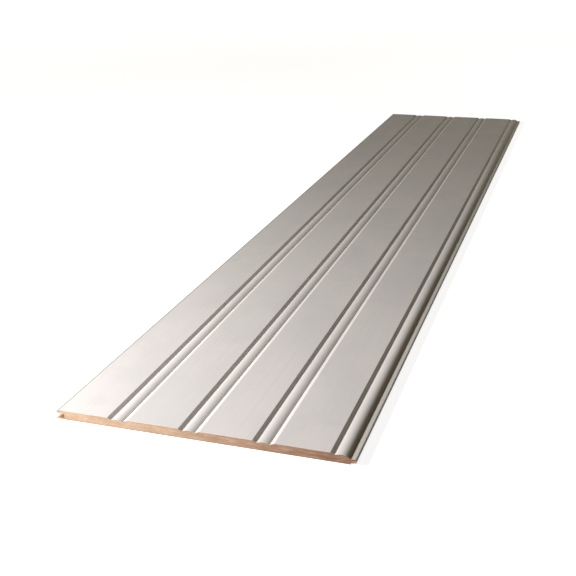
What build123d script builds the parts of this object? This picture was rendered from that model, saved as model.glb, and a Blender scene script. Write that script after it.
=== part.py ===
from build123d import *
import os

# Wainscot panel: one tongue-and-groove plank moulded from fibreboard, lying face up.
# Millimetres, +Z up. X runs across the plank and Y along it.
# The origin is on the back, under the middle of the plank.

# Plank
bead_pitch = 50.8
bead_count = 4
thickness = 6.35
length = 1066.8

# One bead and the sloping wall on each side of it, measured from the start of each pitch
bead_start = 40.9
bead_width = 8.8
wall_run = 2.9

# How far parts of the section lie below the face: a bead's crest, its feet and the tongue's top
crest_depth = 0.4
quirk_depth = 1.3
tongue_step = 2.45

# Left edge of the face
face_easing = 0.75

# Tongue on the right edge, flat on top and tapered on its underside
tongue_reach = 3.8
tongue_root = 2.8
tongue_nose = 2.5
nose_radius = 0.5

# Groove in the left edge, with the same taper as the tongue
groove_depth = 5.8
fit_clearance = 0.15

# Sizes that follow from the ones above
cover_width = bead_pitch * bead_count
overall_width = cover_width + tongue_reach
crest_level = thickness - crest_depth
quirk_level = thickness - quirk_depth
tongue_top = thickness - tongue_step
tongue_taper = (tongue_root - tongue_nose) / tongue_reach
groove_top = tongue_top + fit_clearance
groove_mouth = tongue_root + 2 * fit_clearance
groove_bottom = groove_mouth - tongue_taper * groove_depth

# The section is drawn from the left edge, with height measured from the back.
eased_corner = (0, thickness - face_easing)

with BuildSketch(Plane.XZ) as section:
    with BuildLine():
        # Face, from left to right: a flat, a wall down, a bead and a wall up, once for each pitch.
        # The last bead falls further than the others, to the shoulder of the tongue.
        flat_start = [eased_corner, (face_easing, thickness)]
        for index in range(bead_count):
            left_foot = (index * bead_pitch + bead_start, quirk_level)
            crest = (left_foot[0] + bead_width / 2, crest_level)
            right_foot = (left_foot[0] + bead_width, quirk_level)
            if index == bead_count - 1:
                right_foot = (cover_width, tongue_top)
            Polyline(*flat_start, (left_foot[0] - wall_run, thickness), left_foot)
            TangentArc(crest, left_foot, tangent=(-1, 0))
            TangentArc(crest, right_foot, tangent=(1, 0))
            flat_start = [right_foot, (right_foot[0] + wall_run, thickness)]

        # Right edge, back and left edge
        Polyline(
            (cover_width, tongue_top),
            (overall_width, tongue_top),
            (overall_width, tongue_top - tongue_nose),
            (cover_width, tongue_top - tongue_root),
            (cover_width, 0),
            (0, 0),
            (0, groove_top - groove_mouth),
            (groove_depth, groove_top - groove_bottom),
            (groove_depth, groove_top),
            (0, groove_top),
            eased_corner,
        )
    make_face()
    fillet(section.vertices().group_by(Axis.X)[-1], nose_radius)

plank = Pos(X=-overall_width / 2) * extrude(section.sketch, amount=length / 2, both=True)

os.makedirs("parts", exist_ok=True)
export_step(plank, "parts/wainscot_panel.step")
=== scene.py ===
import math

import bpy
import numpy as np
from mathutils import Matrix, Vector, geometry, noise


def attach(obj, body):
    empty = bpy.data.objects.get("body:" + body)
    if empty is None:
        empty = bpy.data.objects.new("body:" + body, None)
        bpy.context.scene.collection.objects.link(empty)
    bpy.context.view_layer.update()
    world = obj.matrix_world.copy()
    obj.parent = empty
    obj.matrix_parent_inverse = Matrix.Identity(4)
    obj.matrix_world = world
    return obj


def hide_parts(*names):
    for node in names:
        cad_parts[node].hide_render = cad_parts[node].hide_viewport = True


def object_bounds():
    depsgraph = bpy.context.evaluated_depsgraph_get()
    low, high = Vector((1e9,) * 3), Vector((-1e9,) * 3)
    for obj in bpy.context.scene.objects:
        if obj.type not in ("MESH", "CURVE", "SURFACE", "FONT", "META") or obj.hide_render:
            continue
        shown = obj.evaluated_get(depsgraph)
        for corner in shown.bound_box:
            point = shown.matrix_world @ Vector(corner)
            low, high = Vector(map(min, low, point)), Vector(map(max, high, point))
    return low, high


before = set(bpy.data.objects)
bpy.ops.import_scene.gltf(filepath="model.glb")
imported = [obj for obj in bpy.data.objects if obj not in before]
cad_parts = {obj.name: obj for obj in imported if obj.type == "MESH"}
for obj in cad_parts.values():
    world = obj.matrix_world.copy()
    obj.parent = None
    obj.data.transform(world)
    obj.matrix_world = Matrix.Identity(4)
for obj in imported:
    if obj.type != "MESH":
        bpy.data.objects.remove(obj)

# Wainscot panel: a moulded fibreboard plank with a primed face, lying face up on a pale floor.
# Metres, in the part's frame: X across the plank, Y along it, Z up, with the back at Z 0.

mm = 0.001
cad_low, cad_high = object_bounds()
left_edge = cad_low.x
overall_width = cad_high.x - cad_low.x
length = cad_high.y - cad_low.y
thickness = cad_high.z - cad_low.z

# Section, with the sizes of the solid
bead_pitch = 50.8 * mm
bead_count = 4
bead_start = 40.9 * mm
bead_width = 8.8 * mm
crest_depth = 0.4 * mm
quirk_depth = 1.3 * mm
wall_run = 2.9 * mm
face_easing = 0.75 * mm
tongue_reach = 3.8 * mm
tongue_step = 2.45 * mm
tongue_root = 2.8 * mm
tongue_nose = 2.5 * mm
nose_radius = 0.5 * mm
groove_depth = 5.8 * mm
fit_clearance = 0.15 * mm

cover_width = overall_width - tongue_reach
crest_level = thickness - crest_depth
quirk_level = thickness - quirk_depth
tongue_top = thickness - tongue_step
tongue_taper = (tongue_root - tongue_nose) / tongue_reach
groove_top = tongue_top + fit_clearance
groove_mouth = tongue_root + 2 * fit_clearance
groove_bottom = groove_mouth - tongue_taper * groove_depth

# Softened corners, which the solid has square
arris_radius = 0.35 * mm
lip_radius = 0.18 * mm
arc_steps = 5
bead_steps = 14

# Mesh
outline_step = 1.2 * mm
station_step = 16 * mm
station_starts = [0.3 * mm, 0.9 * mm, 2.5 * mm, 7 * mm]
end_wear = 0.06 * mm
end_chip = 0.35 * mm
end_rings = [(0.0, 1.0, 0.0), (0.07 * mm, 0.35, 0.6)]
cap_step_x = 0.9 * mm
cap_step_z = 0.6 * mm
cap_margin = 0.3 * mm
cap_relief = 0.09 * mm

# Camera, solved from the photo
camera_place = Vector((0.2224, -1.0189, 0.3099))
camera_turn = math.radians(18.337)
camera_tilt = math.radians(21.21)
camera_roll = math.radians(-0.89)
camera_lens = 59.28
sensor_width = 36.0

# Colours
primer_white = (0.81, 0.772, 0.762, 1)
primer_grey = (0.68, 0.675, 0.675, 1)
# Painted light: the warmer, dimmer light of the far end, mixed into the primer there.
primer_far_light_tint = (0.78, 0.73, 0.65, 1)
edge_line_grey = (0.34, 0.33, 0.30, 1)
# Dust colour for specks and marks, also used for the painted shade below the bead feet and beside the last
# bead.
dust_and_shade = (0.40, 0.33, 0.23, 1)
core_fibre = (0.545, 0.375, 0.262, 1)
skin_fibre = (0.40, 0.25, 0.145, 1)
pale_fibre = (0.71, 0.55, 0.43, 1)
# Dark fibre flecks, and also the colour of painted shade in the groove and along the bottom of the cut end.
dark_fibre_and_shade = (0.20, 0.115, 0.06, 1)
# Painted shade colour for the falloff of light across the cut end towards the tongue.
end_falloff_shade = (0.60, 0.47, 0.43, 1)
floor_colour = (0.80, 0.80, 0.79, 1)

# Light
key_place = (left_edge - 0.50, -length / 2 - 0.30, 0.35)
key_energy = 47.0
key_radius = 0.05
back_place = (0.30, length / 2 + 0.55, 0.12)
back_energy = 2.4
back_radius = 0.15
fill_level = 0.06
key_colour = (1.0, 0.985, 0.98)
back_colour = (1.0, 0.90, 0.66)
fill_colour = (1.0, 0.84, 0.46, 1)


def half_bead(crest, foot, foot_height):
    """Corners down one side of a bead, from just past its crest to its foot."""
    run = abs(foot - crest)
    drop = crest_level - foot_height
    radius = (run**2 + drop**2) / (2 * drop)
    steepest = math.asin(run / radius)
    corners = []
    for step in range(1, bead_steps + 1):
        slope = steepest * step / bead_steps
        across = math.copysign(radius * math.sin(slope), foot - crest)
        corners.append((crest + across, crest_level - radius * (1 - math.cos(slope)), 0, 1))
    return corners


def section_corners():
    """Corners of the section from the groove's upper lip over the face and tongue, then round the back.

    Each is (x, z, rounding radius, how much primer is on it)."""
    corners = [
        (0, groove_top, lip_radius, 0.55),
        (0, thickness - face_easing, lip_radius, 1),
        (face_easing, thickness, arris_radius, 1),
    ]
    for index in range(bead_count):
        left_foot = index * bead_pitch + bead_start
        crest = left_foot + bead_width / 2
        last = index == bead_count - 1
        right_foot = cover_width if last else left_foot + bead_width
        corners.append((left_foot - wall_run, thickness, arris_radius, 1))
        corners += reversed(half_bead(crest, left_foot, quirk_level))
        corners.append((crest, crest_level, 0, 1))
        corners += half_bead(crest, right_foot, tongue_top if last else quirk_level)
        if not last:
            corners.append((right_foot + wall_run, thickness, arris_radius, 1))
    corners += [
        (overall_width, tongue_top, nose_radius, 1),
        (overall_width, tongue_top - tongue_nose, nose_radius, 0.8),
        (cover_width, tongue_top - tongue_root, 0, 0),
        (cover_width, 0, lip_radius, 0),
        (0, 0, lip_radius, 0),
        (0, groove_top - groove_mouth, lip_radius, 0.25),
        (groove_depth, groove_top - groove_bottom, lip_radius, 0),
        (groove_depth, groove_top, lip_radius, 0),
    ]
    return corners


def rounded(before, corner, after):
    """Points of the arc that rounds one corner, or the corner itself where it has no radius."""
    x, z, radius, paint = corner
    if radius == 0:
        return [(x, z, paint, 0)]
    here = Vector((x, z))
    towards = (Vector(before[:2]) - here).normalized()
    onwards = (Vector(after[:2]) - here).normalized()
    half = towards.angle(onwards) / 2
    centre = here + (towards + onwards).normalized() * radius / math.sin(half)
    first = here + towards * radius / math.tan(half) - centre
    last = here + onwards * radius / math.tan(half) - centre
    sweep = first.angle_signed(last)
    points = []
    for step in range(arc_steps + 1):
        spoke = Matrix.Rotation(-sweep * step / arc_steps, 2) @ first
        points.append((centre.x + spoke.x, centre.y + spoke.y, paint, float(0 < step < arc_steps)))
    return points


def outline():
    """The section as a closed line of (x, z, paint, arris) with no stretch longer than outline_step."""
    corners = section_corners()
    count = len(corners)
    line = []
    for index, corner in enumerate(corners):
        line += rounded(corners[index - 1], corner, corners[(index + 1) % count])
    points = []
    for start, end in zip(line, line[1:] + line[:1]):
        run = math.dist(start[:2], end[:2])
        parts = max(1, math.ceil(run / outline_step))
        for part in range(parts):
            share = part / parts
            points.append([a + (b - a) * share for a, b in zip(start, end)])
    return np.array(points)


def inward(points):
    """For each point of the section, the step that moves its two neighbouring sides inwards by one."""
    sides = np.roll(points, -1, axis=0) - points
    sides /= np.linalg.norm(sides, axis=1)[:, None]
    normals = np.stack([sides[:, 1], -sides[:, 0]], axis=1)
    summed = normals + np.roll(normals, 1, axis=0)
    return 2 * summed / (summed**2).sum(axis=1)[:, None]


def wear_at(x, y, z):
    """How far the arris of a cut end is worn back at a point, with a chip here and there."""
    fine = noise.noise(Vector((x, y, z)) / (1.7 * mm))
    rare = noise.noise(Vector((x, y, z)) / (4.1 * mm) + Vector((31, 7, 3)))
    return end_wear * (1 + 0.7 * fine) + end_chip * max(0.0, rare - 0.38)


def relief_at(x, y, z):
    """How deep the sawn face of an end lies below its plane at a point."""
    torn = noise.fractal(Vector((x / (1.1 * mm), y, z / (0.6 * mm))), 1.0, 2.0, 4)
    kerf = noise.noise(Vector((x / (3.5 * mm), y, 0)))
    return cap_relief * min(1.0, max(0.0, 0.5 + 0.5 * torn + 0.3 * kerf))


def inside(points, polygon):
    """Which points lie inside the polygon and at least cap_margin from its sides."""
    starts = polygon
    ends = np.roll(polygon, -1, axis=0)
    px, pz = points[:, :1], points[:, 1:]
    crosses = (starts[:, 1] > pz) != (ends[:, 1] > pz)
    rise = ends[:, 1] - starts[:, 1]
    reach = starts[:, 0] + (pz - starts[:, 1]) / np.where(rise == 0, 1, rise) * (ends[:, 0] - starts[:, 0])
    odd = (crosses & (px < reach)).sum(axis=1) % 2 == 1
    run = ends - starts
    share = ((px - starts[:, 0]) * run[:, 0] + (pz - starts[:, 1]) * run[:, 1]) / (run**2).sum(axis=1)
    share = np.clip(share, 0, 1)
    gap = np.hypot(px - starts[:, 0] - share * run[:, 0], pz - starts[:, 1] - share * run[:, 1])
    return odd & (gap.min(axis=1) > cap_margin)


def cap(ring, side, vertices, faces, first):
    """Fills the end's ring with small uneven triangles. side is -1 at the near end and 1 at the far end."""
    polygon = np.array([(vertices[first + i][0], vertices[first + i][2]) for i in range(ring)])
    across = np.arange(polygon[:, 0].min(), polygon[:, 0].max(), cap_step_x)
    up = np.arange(polygon[:, 1].min(), polygon[:, 1].max(), cap_step_z)
    grid = np.array([(x, z) for x in across for z in up])
    jitter = np.array([noise.random_vector()[:2] for _ in grid])
    grid += jitter * 0.3 * np.array([cap_step_x, cap_step_z])
    grid = grid[inside(grid, polygon)]
    flat = [Vector(p) / mm for p in np.vstack([polygon, grid])]
    border = [(i, (i + 1) % ring) for i in range(ring)]
    made, _, triangles, origins, _, _ = geometry.delaunay_2d_cdt(flat, border, [], 1, 1e-6)
    place = side * length / 2
    index = []
    for point, origin in zip(made, origins):
        if origin and origin[0] < ring:
            index.append(first + origin[0])
            continue
        x, z = point.x * mm, point.y * mm
        index.append(len(vertices))
        vertices.append((x, place - side * relief_at(x, place, z), z))
    faces += [[index[i] for i in triangle] for triangle in triangles]


def plank_mesh():
    """The plank's mesh, with attributes for primer and arris, and the cut ends as a second material."""
    points = outline()
    section = points[:, :2].copy()
    section[:, 0] += left_edge
    inset = inward(section)
    ring = len(section)
    half = length / 2
    starts = [(depth - half, share, cover) for depth, share, cover in end_rings]
    starts += [(depth - half, 0, 1) for depth in station_starts]
    ends = [(-y, share, cover) for y, share, cover in reversed(starts)]
    inner = np.linspace(starts[-1][0], ends[0][0], round(length / station_step))[1:-1]
    stations = starts + [(y, 0, 1) for y in inner] + ends

    vertices = []
    for y, share, _ in stations:
        end = math.copysign(half, y)
        for (x, z), step in zip(section, inset):
            worn = share * wear_at(x, end, z) if share else 0
            vertices.append((x + step[0] * worn, y, z + step[1] * worn))
    faces = []
    for row in range(len(stations) - 1):
        for i in range(ring):
            a, b = row * ring + i, row * ring + (i + 1) % ring
            faces.append((a, b, b + ring, a + ring))
    swept = len(faces)
    side_vertices = len(vertices)
    cap(ring, -1, vertices, faces, 0)
    cap(ring, 1, vertices, faces, side_vertices - ring)

    mesh = bpy.data.meshes.new("wainscot_plank")
    mesh.from_pydata(vertices, [], faces)
    covers = np.array([cover for _, _, cover in stations])
    ends_only = np.zeros(len(vertices) - side_vertices)
    primer = np.concatenate([np.outer(covers, points[:, 2]).ravel(), ends_only])
    arris = np.concatenate([np.maximum.outer(1 - covers, points[:, 3]).ravel(), ends_only])
    for name, values in (("primer", primer), ("arris", arris)):
        mesh.attributes.new(name, "FLOAT", "POINT").data.foreach_set("value", values.astype(np.float32))
    mesh.polygons.foreach_set("material_index", [0] * swept + [1] * (len(faces) - swept))
    return mesh


def build_plank():
    """The dressed plank, which stands for the solid."""
    mesh = plank_mesh()
    mesh.materials.append(primed_board())
    mesh.materials.append(sawn_board())
    plank = bpy.data.objects.new("wainscot_plank", mesh)
    bpy.context.scene.collection.objects.link(plank)
    bpy.context.view_layer.objects.active = plank
    plank.select_set(True)
    bpy.ops.object.mode_set(mode="EDIT")
    bpy.ops.mesh.select_all(action="SELECT")
    bpy.ops.mesh.normals_make_consistent(inside=False)
    bpy.ops.object.mode_set(mode="OBJECT")
    mesh.shade_smooth()
    mesh.set_sharp_from_angle(angle=math.radians(38))
    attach(plank, "root")
    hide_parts("wainscot_panel")
    return plank


def node(tree, kind, inputs=None, **settings):
    """Adds a node. An input that is a socket is linked, and any other is set."""
    made = tree.nodes.new(kind)
    for name, value in settings.items():
        setattr(made, name, value)
    for key, value in (inputs or {}).items():
        if isinstance(value, bpy.types.NodeSocket):
            tree.links.new(value, made.inputs[key])
        else:
            made.inputs[key].default_value = value
    return made


def mixed(tree, share, first, second, blend="MIX"):
    """Colour between first and second."""
    inputs = {0: share, 6: first, 7: second}
    return node(tree, "ShaderNodeMix", inputs, data_type="RGBA", blend_type=blend).outputs[2]


def maths(tree, operation, first, second):
    """Result of one sum on two numbers or sockets, kept from 0 to 1."""
    inputs = {0: first, 1: second}
    return node(tree, "ShaderNodeMath", inputs, operation=operation, use_clamp=True).outputs[0]


def span(tree, value, low, high, low_result=0.0, high_result=1.0):
    """Takes value smoothly from low_result at low to high_result at high."""
    inputs = {0: value, 1: low, 2: high, 3: low_result, 4: high_result}
    return node(tree, "ShaderNodeMapRange", inputs, interpolation_type="SMOOTHSTEP").outputs[0]


def grain(tree, place, sizes, detail=3.0, roughness=0.55, shift=0.0):
    """Noise whose lumps have the given sizes along X, Y and Z."""
    inputs = {"Vector": place, "Scale": [1 / size for size in sizes], "Location": (shift, shift, shift)}
    scaled = node(tree, "ShaderNodeMapping", inputs).outputs[0]
    inputs = {"Vector": scaled, "Scale": 1.0, "Detail": detail, "Roughness": roughness}
    return node(tree, "ShaderNodeTexNoise", inputs).outputs["Fac"]


def new_material(name):
    """An empty node material, its tree and its place coordinates."""
    material = bpy.data.materials.new(name)
    material.use_nodes = True
    tree = material.node_tree
    tree.nodes.clear()
    place = node(tree, "ShaderNodeTexCoord").outputs["Object"]
    return material, tree, place


def finish_material(tree, colour, roughness, height, depth, specular):
    """Ends a material in one Principled shader with a bump."""
    bump = node(tree, "ShaderNodeBump", {"Strength": 1.0, "Distance": depth, "Height": height})
    inputs = {
        "Base Color": colour,
        "Roughness": roughness,
        "Specular IOR Level": specular,
        "Normal": bump.outputs[0],
    }
    shader = node(tree, "ShaderNodeBsdfPrincipled", inputs)
    node(tree, "ShaderNodeOutputMaterial", {"Surface": shader.outputs[0]})


def fibre_colour(tree, place):
    """Raw fibreboard: short pale and dark fibres on a tan ground."""
    tone = grain(tree, place, (14 * mm, 30 * mm, 9 * mm), detail=2.0)
    ground = mixed(tree, span(tree, tone, 0.3, 0.7), core_fibre, skin_fibre)
    ground = mixed(tree, 0.45, ground, core_fibre)
    pale = grain(tree, place, (0.9 * mm, 1.6 * mm, 0.35 * mm), detail=4.0, shift=3.0)
    dark = grain(tree, place, (1.3 * mm, 1.1 * mm, 0.5 * mm), detail=4.0, shift=11.0)
    flecked = mixed(tree, span(tree, pale, 0.5, 0.75, 0.0, 0.6), ground, pale_fibre)
    return mixed(tree, span(tree, dark, 0.52, 0.75, 0.0, 0.55), flecked, dark_fibre_and_shade)


def groove_shade(tree, axes):
    """How much the fibre inside the groove is darkened, from 1.3 mm in to the bottom."""
    deep = span(tree, axes[0], left_edge + 1.3 * mm, left_edge + 2.6 * mm, 0.0, 0.9)
    bottom = left_edge + groove_depth
    within = span(tree, axes[0], bottom, bottom + 0.3 * mm, 1.0, 0.0)
    above = span(tree, axes[2], 0.5 * mm, 0.9 * mm)
    below = span(tree, axes[2], groove_top + 0.05 * mm, groove_top + 0.3 * mm, 1.0, 0.0)
    deep = maths(tree, "MULTIPLY", deep, within)
    return maths(tree, "MULTIPLY", deep, maths(tree, "MULTIPLY", above, below))


def cutter_marks(tree, place, axes):
    """Fine marks across the plank, strongest at the feet of the beads and none on the flats."""
    settings = {"Vector": place, "Scale": 160.0, "Distortion": 1.5, "Detail": 2.0, "Detail Scale": 20.0}
    marks = node(tree, "ShaderNodeTexWave", settings, bands_direction="Y").outputs["Fac"]
    low = span(tree, axes[2], quirk_level, thickness, 1.0, 0.0)
    return maths(tree, "MULTIPLY", marks, low)


def mottled_primer(tree, place, axes):
    """Primer with faint grey patches, streaks and specks, and a painted warm light tint towards the far
    end.
    """
    mottle = grain(tree, place, (60 * mm, 90 * mm, 60 * mm), detail=4.0)
    streak = grain(tree, place, (2.2 * mm, 260 * mm, 2.2 * mm), detail=3.0, shift=5.0)
    smudge = grain(tree, place, (26 * mm, 34 * mm, 26 * mm), detail=4.0, shift=17.0)
    # Painted light: a warm tint rising towards the far end, plus a little random warmth from the mottle.
    far_light_tint_and_mottle = maths(tree, "MULTIPLY", span(tree, axes[1], -length / 2, length / 2), 0.5)
    far_light_tint_and_mottle = maths(tree, "ADD", far_light_tint_and_mottle, span(tree, mottle, 0.3, 0.7, 0.0, 0.12))
    paint = mixed(tree, far_light_tint_and_mottle, primer_white, primer_far_light_tint)
    paint = mixed(tree, span(tree, mottle, 0.4, 0.65, 0.0, 0.35), paint, primer_grey)
    paint = mixed(tree, span(tree, streak, 0.4, 0.75, 0.0, 0.22), paint, primer_grey)
    paint = mixed(tree, span(tree, smudge, 0.54, 0.7, 0.0, 0.3), paint, primer_grey)
    speck = node(tree, "ShaderNodeTexVoronoi", {"Vector": place, "Scale": 90.0}).outputs["Distance"]
    return mixed(tree, span(tree, speck, 0.035, 0.05, 0.35, 0.0), paint, dust_and_shade)


def dirt_and_shade(tree, place, axes):
    """How much dirt and painted shade darken the primer: both below the feet of the beads, and painted
    shade on the last bead's right side.
    """
    # Below the feet of the beads: partly dirt and partly painted shade in the recess.
    sunk = span(tree, axes[2], quirk_level, tongue_top)
    settled = grain(tree, place, (3 * mm, 60 * mm, 3 * mm), detail=3.0, shift=23.0)
    dirt_shade_share = maths(tree, "MULTIPLY", sunk, span(tree, settled, 0.3, 0.7, 0.3, 0.6))
    shoulder = left_edge + cover_width
    # Painted shade on the last bead's right side, which the bead itself shades.
    last_side_shade = span(tree, axes[0], shoulder - 4 * mm, shoulder - 1.5 * mm, 0.0, 0.4)
    dirt_shade_share = maths(tree, "ADD", dirt_shade_share, last_side_shade)
    off_tongue = span(tree, axes[0], shoulder, shoulder + 0.8 * mm, 1.0, 0.1)
    return maths(tree, "MULTIPLY", dirt_shade_share, off_tongue)


def primer_cover(tree, place):
    """How much primer is left: none on raw fibre, ragged at its limits, rubbed through on worn arrises."""
    primer = node(tree, "ShaderNodeAttribute", attribute_name="primer").outputs["Fac"]
    arris = node(tree, "ShaderNodeAttribute", attribute_name="arris").outputs["Fac"]
    rubbed = grain(tree, place, (1.5 * mm, 9 * mm, 1.5 * mm), detail=4.0, shift=29.0)
    worn = maths(tree, "MULTIPLY", arris, span(tree, rubbed, 0.5, 0.75, 0.0, 0.5))
    patchy = grain(tree, place, (1.2 * mm, 5 * mm, 0.8 * mm), detail=5.0, shift=37.0)
    reach = maths(tree, "ADD", primer, maths(tree, "MULTIPLY", patchy, 0.6))
    return maths(tree, "SUBTRACT", span(tree, reach, 0.72, 0.98), worn)


def primed_board():
    """Off-white primer on the face, thinning out to raw fibreboard on the edges and back."""
    material, tree, place = new_material("primed_board")
    axes = node(tree, "ShaderNodeSeparateXYZ", {0: place}).outputs
    marks = cutter_marks(tree, place, axes)
    paint = mottled_primer(tree, place, axes)
    paint = mixed(tree, dirt_and_shade(tree, place, axes), paint, dust_and_shade)
    paint = mixed(tree, maths(tree, "MULTIPLY", marks, 0.3), paint, dust_and_shade)
    flat_edge = left_edge + face_easing
    # A grey line along the left edge of the flat.
    edge_line = span(tree, axes[0], flat_edge + 0.9 * mm, flat_edge + 1.5 * mm, 0.8, 0.0)
    paint = mixed(tree, edge_line, paint, edge_line_grey)
    # Painted shade deep inside the groove darkens the raw fibre there.
    fibre_and_shade = mixed(tree, groove_shade(tree, axes), fibre_colour(tree, place), dark_fibre_and_shade)
    cover = primer_cover(tree, place)
    colour = mixed(tree, cover, fibre_and_shade, paint)

    roughness = span(tree, cover, 0.0, 1.0, 0.85, 0.65)
    peel = grain(tree, place, (1.6 * mm, 2.2 * mm, 1.6 * mm), detail=2.0, shift=41.0)
    fuzz = grain(tree, place, (0.35 * mm, 0.6 * mm, 0.35 * mm), detail=4.0, shift=43.0)
    relief = maths(tree, "ADD", maths(tree, "MULTIPLY", peel, 0.6), maths(tree, "MULTIPLY", fuzz, 0.4))
    relief = maths(tree, "ADD", relief, maths(tree, "MULTIPLY", marks, 0.3))
    finish_material(tree, colour, roughness, relief, 0.05 * mm, 0.1)
    return material


def sawn_board():
    """The cut ends: raw fibreboard, darker towards the face and the back, and darker and browner towards
    the tongue by painted shade.

    The painted shade follows the falloff of light across the near end."""
    material, tree, place = new_material("sawn_board")
    axes = node(tree, "ShaderNodeSeparateXYZ", {0: place}).outputs
    # Painted shade: the falloff of light across the near end, darker and browner towards the tongue.
    falloff_shade = span(tree, axes[0], left_edge + cover_width / 4, left_edge + cover_width)
    fibre_and_shade = mixed(tree, falloff_shade, fibre_colour(tree, place), end_falloff_shade, "MULTIPLY")
    from_back = span(tree, axes[2], 0.0, 1.3 * mm, 0.5, 0.0)
    from_face = span(tree, axes[2], thickness - 0.9 * mm, thickness, 0.0, 0.5)
    layer = grain(tree, place, (9 * mm, 9 * mm, 0.8 * mm), detail=4.0, shift=53.0)
    colour = mixed(tree, span(tree, layer, 0.45, 0.7, 0.0, 0.4), fibre_and_shade, pale_fibre)
    colour = mixed(tree, maths(tree, "ADD", from_back, from_face), colour, skin_fibre)
    # Painted shade: a dark line along the bottom edge of the cut end, where it meets the floor.
    bottom_painted_shade = span(tree, axes[2], 0.1 * mm, 0.6 * mm, 0.8, 0.0)
    colour = mixed(tree, bottom_painted_shade, colour, dark_fibre_and_shade)
    pits = grain(tree, place, (0.3 * mm, 0.3 * mm, 0.2 * mm), detail=4.0, shift=59.0)
    kerf = grain(tree, place, (0.5 * mm, 0.5 * mm, 12 * mm), detail=2.0, shift=61.0)
    height = maths(tree, "ADD", maths(tree, "MULTIPLY", pits, 0.7), maths(tree, "MULTIPLY", kerf, 0.3))
    finish_material(tree, colour, 0.9, height, 0.12 * mm, 0.2)
    return material


def seen_rays(tree):
    """1 for rays that show the background: seen directly, mirrored or through glass."""
    rays = node(tree, "ShaderNodeLightPath").outputs
    seen = maths(tree, "ADD", rays["Is Camera Ray"], rays["Is Glossy Ray"])
    return maths(tree, "ADD", seen, rays["Is Transmission Ray"])


def build_floor():
    """A pale floor that looks white to the camera and keeps the plank's shadow."""
    size = 12.0
    mesh = bpy.data.meshes.new("floor")
    corners = [(-size, -size, 0), (size, -size, 0), (size, size, 0), (-size, size, 0)]
    mesh.from_pydata(corners, [], [(0, 1, 2, 3)])
    floor = bpy.data.objects.new("floor", mesh)
    floor.location.z = -0.1 * mm
    bpy.context.scene.collection.objects.link(floor)
    material, tree, place = new_material("floor")
    seen = seen_rays(tree)
    matt = node(tree, "ShaderNodeBsdfDiffuse", {"Color": floor_colour}).outputs[0]
    contact = node(tree, "ShaderNodeAmbientOcclusion", {"Distance": 2 * mm}, samples=8).outputs["AO"]
    contact = span(tree, contact, 0.0, 1.0, 0.7, 1.0)
    far_off = node(tree, "ShaderNodeVectorMath", {0: place}, operation="LENGTH").outputs["Value"]
    lift = maths(tree, "MULTIPLY", contact, span(tree, far_off, 0.9, 2.5, 0.88, 1.0))
    lift = maths(tree, "MULTIPLY", lift, seen)
    glow = node(tree, "ShaderNodeEmission", {"Color": (1, 1, 1, 1), "Strength": lift}).outputs[0]
    both = node(tree, "ShaderNodeAddShader", {0: matt, 1: glow}).outputs[0]
    node(tree, "ShaderNodeOutputMaterial", {"Surface": both})
    mesh.materials.append(material)


def build_world():
    """White where it is seen or mirrored, and a dim warm fill for the rest."""
    world = bpy.data.worlds.new("studio")
    bpy.context.scene.world = world
    world.use_nodes = True
    tree = world.node_tree
    tree.nodes.clear()
    seen = seen_rays(tree)
    fill = node(tree, "ShaderNodeBackground", {"Color": fill_colour, "Strength": fill_level}).outputs[0]
    white = node(tree, "ShaderNodeBackground", {"Color": (1, 1, 1, 1), "Strength": 1.0}).outputs[0]
    both = node(tree, "ShaderNodeMixShader", {0: seen, 1: fill, 2: white}).outputs[0]
    node(tree, "ShaderNodeOutputWorld", {"Surface": both})


def build_lamp(name, place, energy, radius, colour, gloss):
    """One soft round lamp. gloss is how much of it shows as a highlight."""
    lamp = bpy.data.lights.new(name, "POINT")
    lamp.energy = energy
    lamp.shadow_soft_size = radius
    lamp.color = colour
    lamp.specular_factor = gloss
    holder = bpy.data.objects.new(name, lamp)
    holder.location = place
    bpy.context.scene.collection.objects.link(holder)


def build_lamps():
    """A key, low and to the left of the near end, and a weaker lamp low behind the far end."""
    build_lamp("key", key_place, key_energy, key_radius, key_colour, 1.0)
    build_lamp("back", back_place, back_energy, back_radius, back_colour, 0.0)


def build_camera():
    """The photo's camera."""
    data = bpy.data.cameras.new("camera")
    data.sensor_width = sensor_width
    data.lens = camera_lens
    camera = bpy.data.objects.new("camera", data)
    camera.matrix_world = (
        Matrix.Translation(camera_place)
        @ Matrix.Rotation(camera_turn, 4, "Z")
        @ Matrix.Rotation(math.pi / 2 - camera_tilt, 4, "X")
        @ Matrix.Rotation(camera_roll, 4, "Z")
    )
    bpy.context.scene.collection.objects.link(camera)
    bpy.context.scene.camera = camera


noise.seed_set(7)
build_plank()
build_floor()
build_world()
build_lamps()
build_camera()
bpy.context.scene.view_settings.view_transform = "Standard"
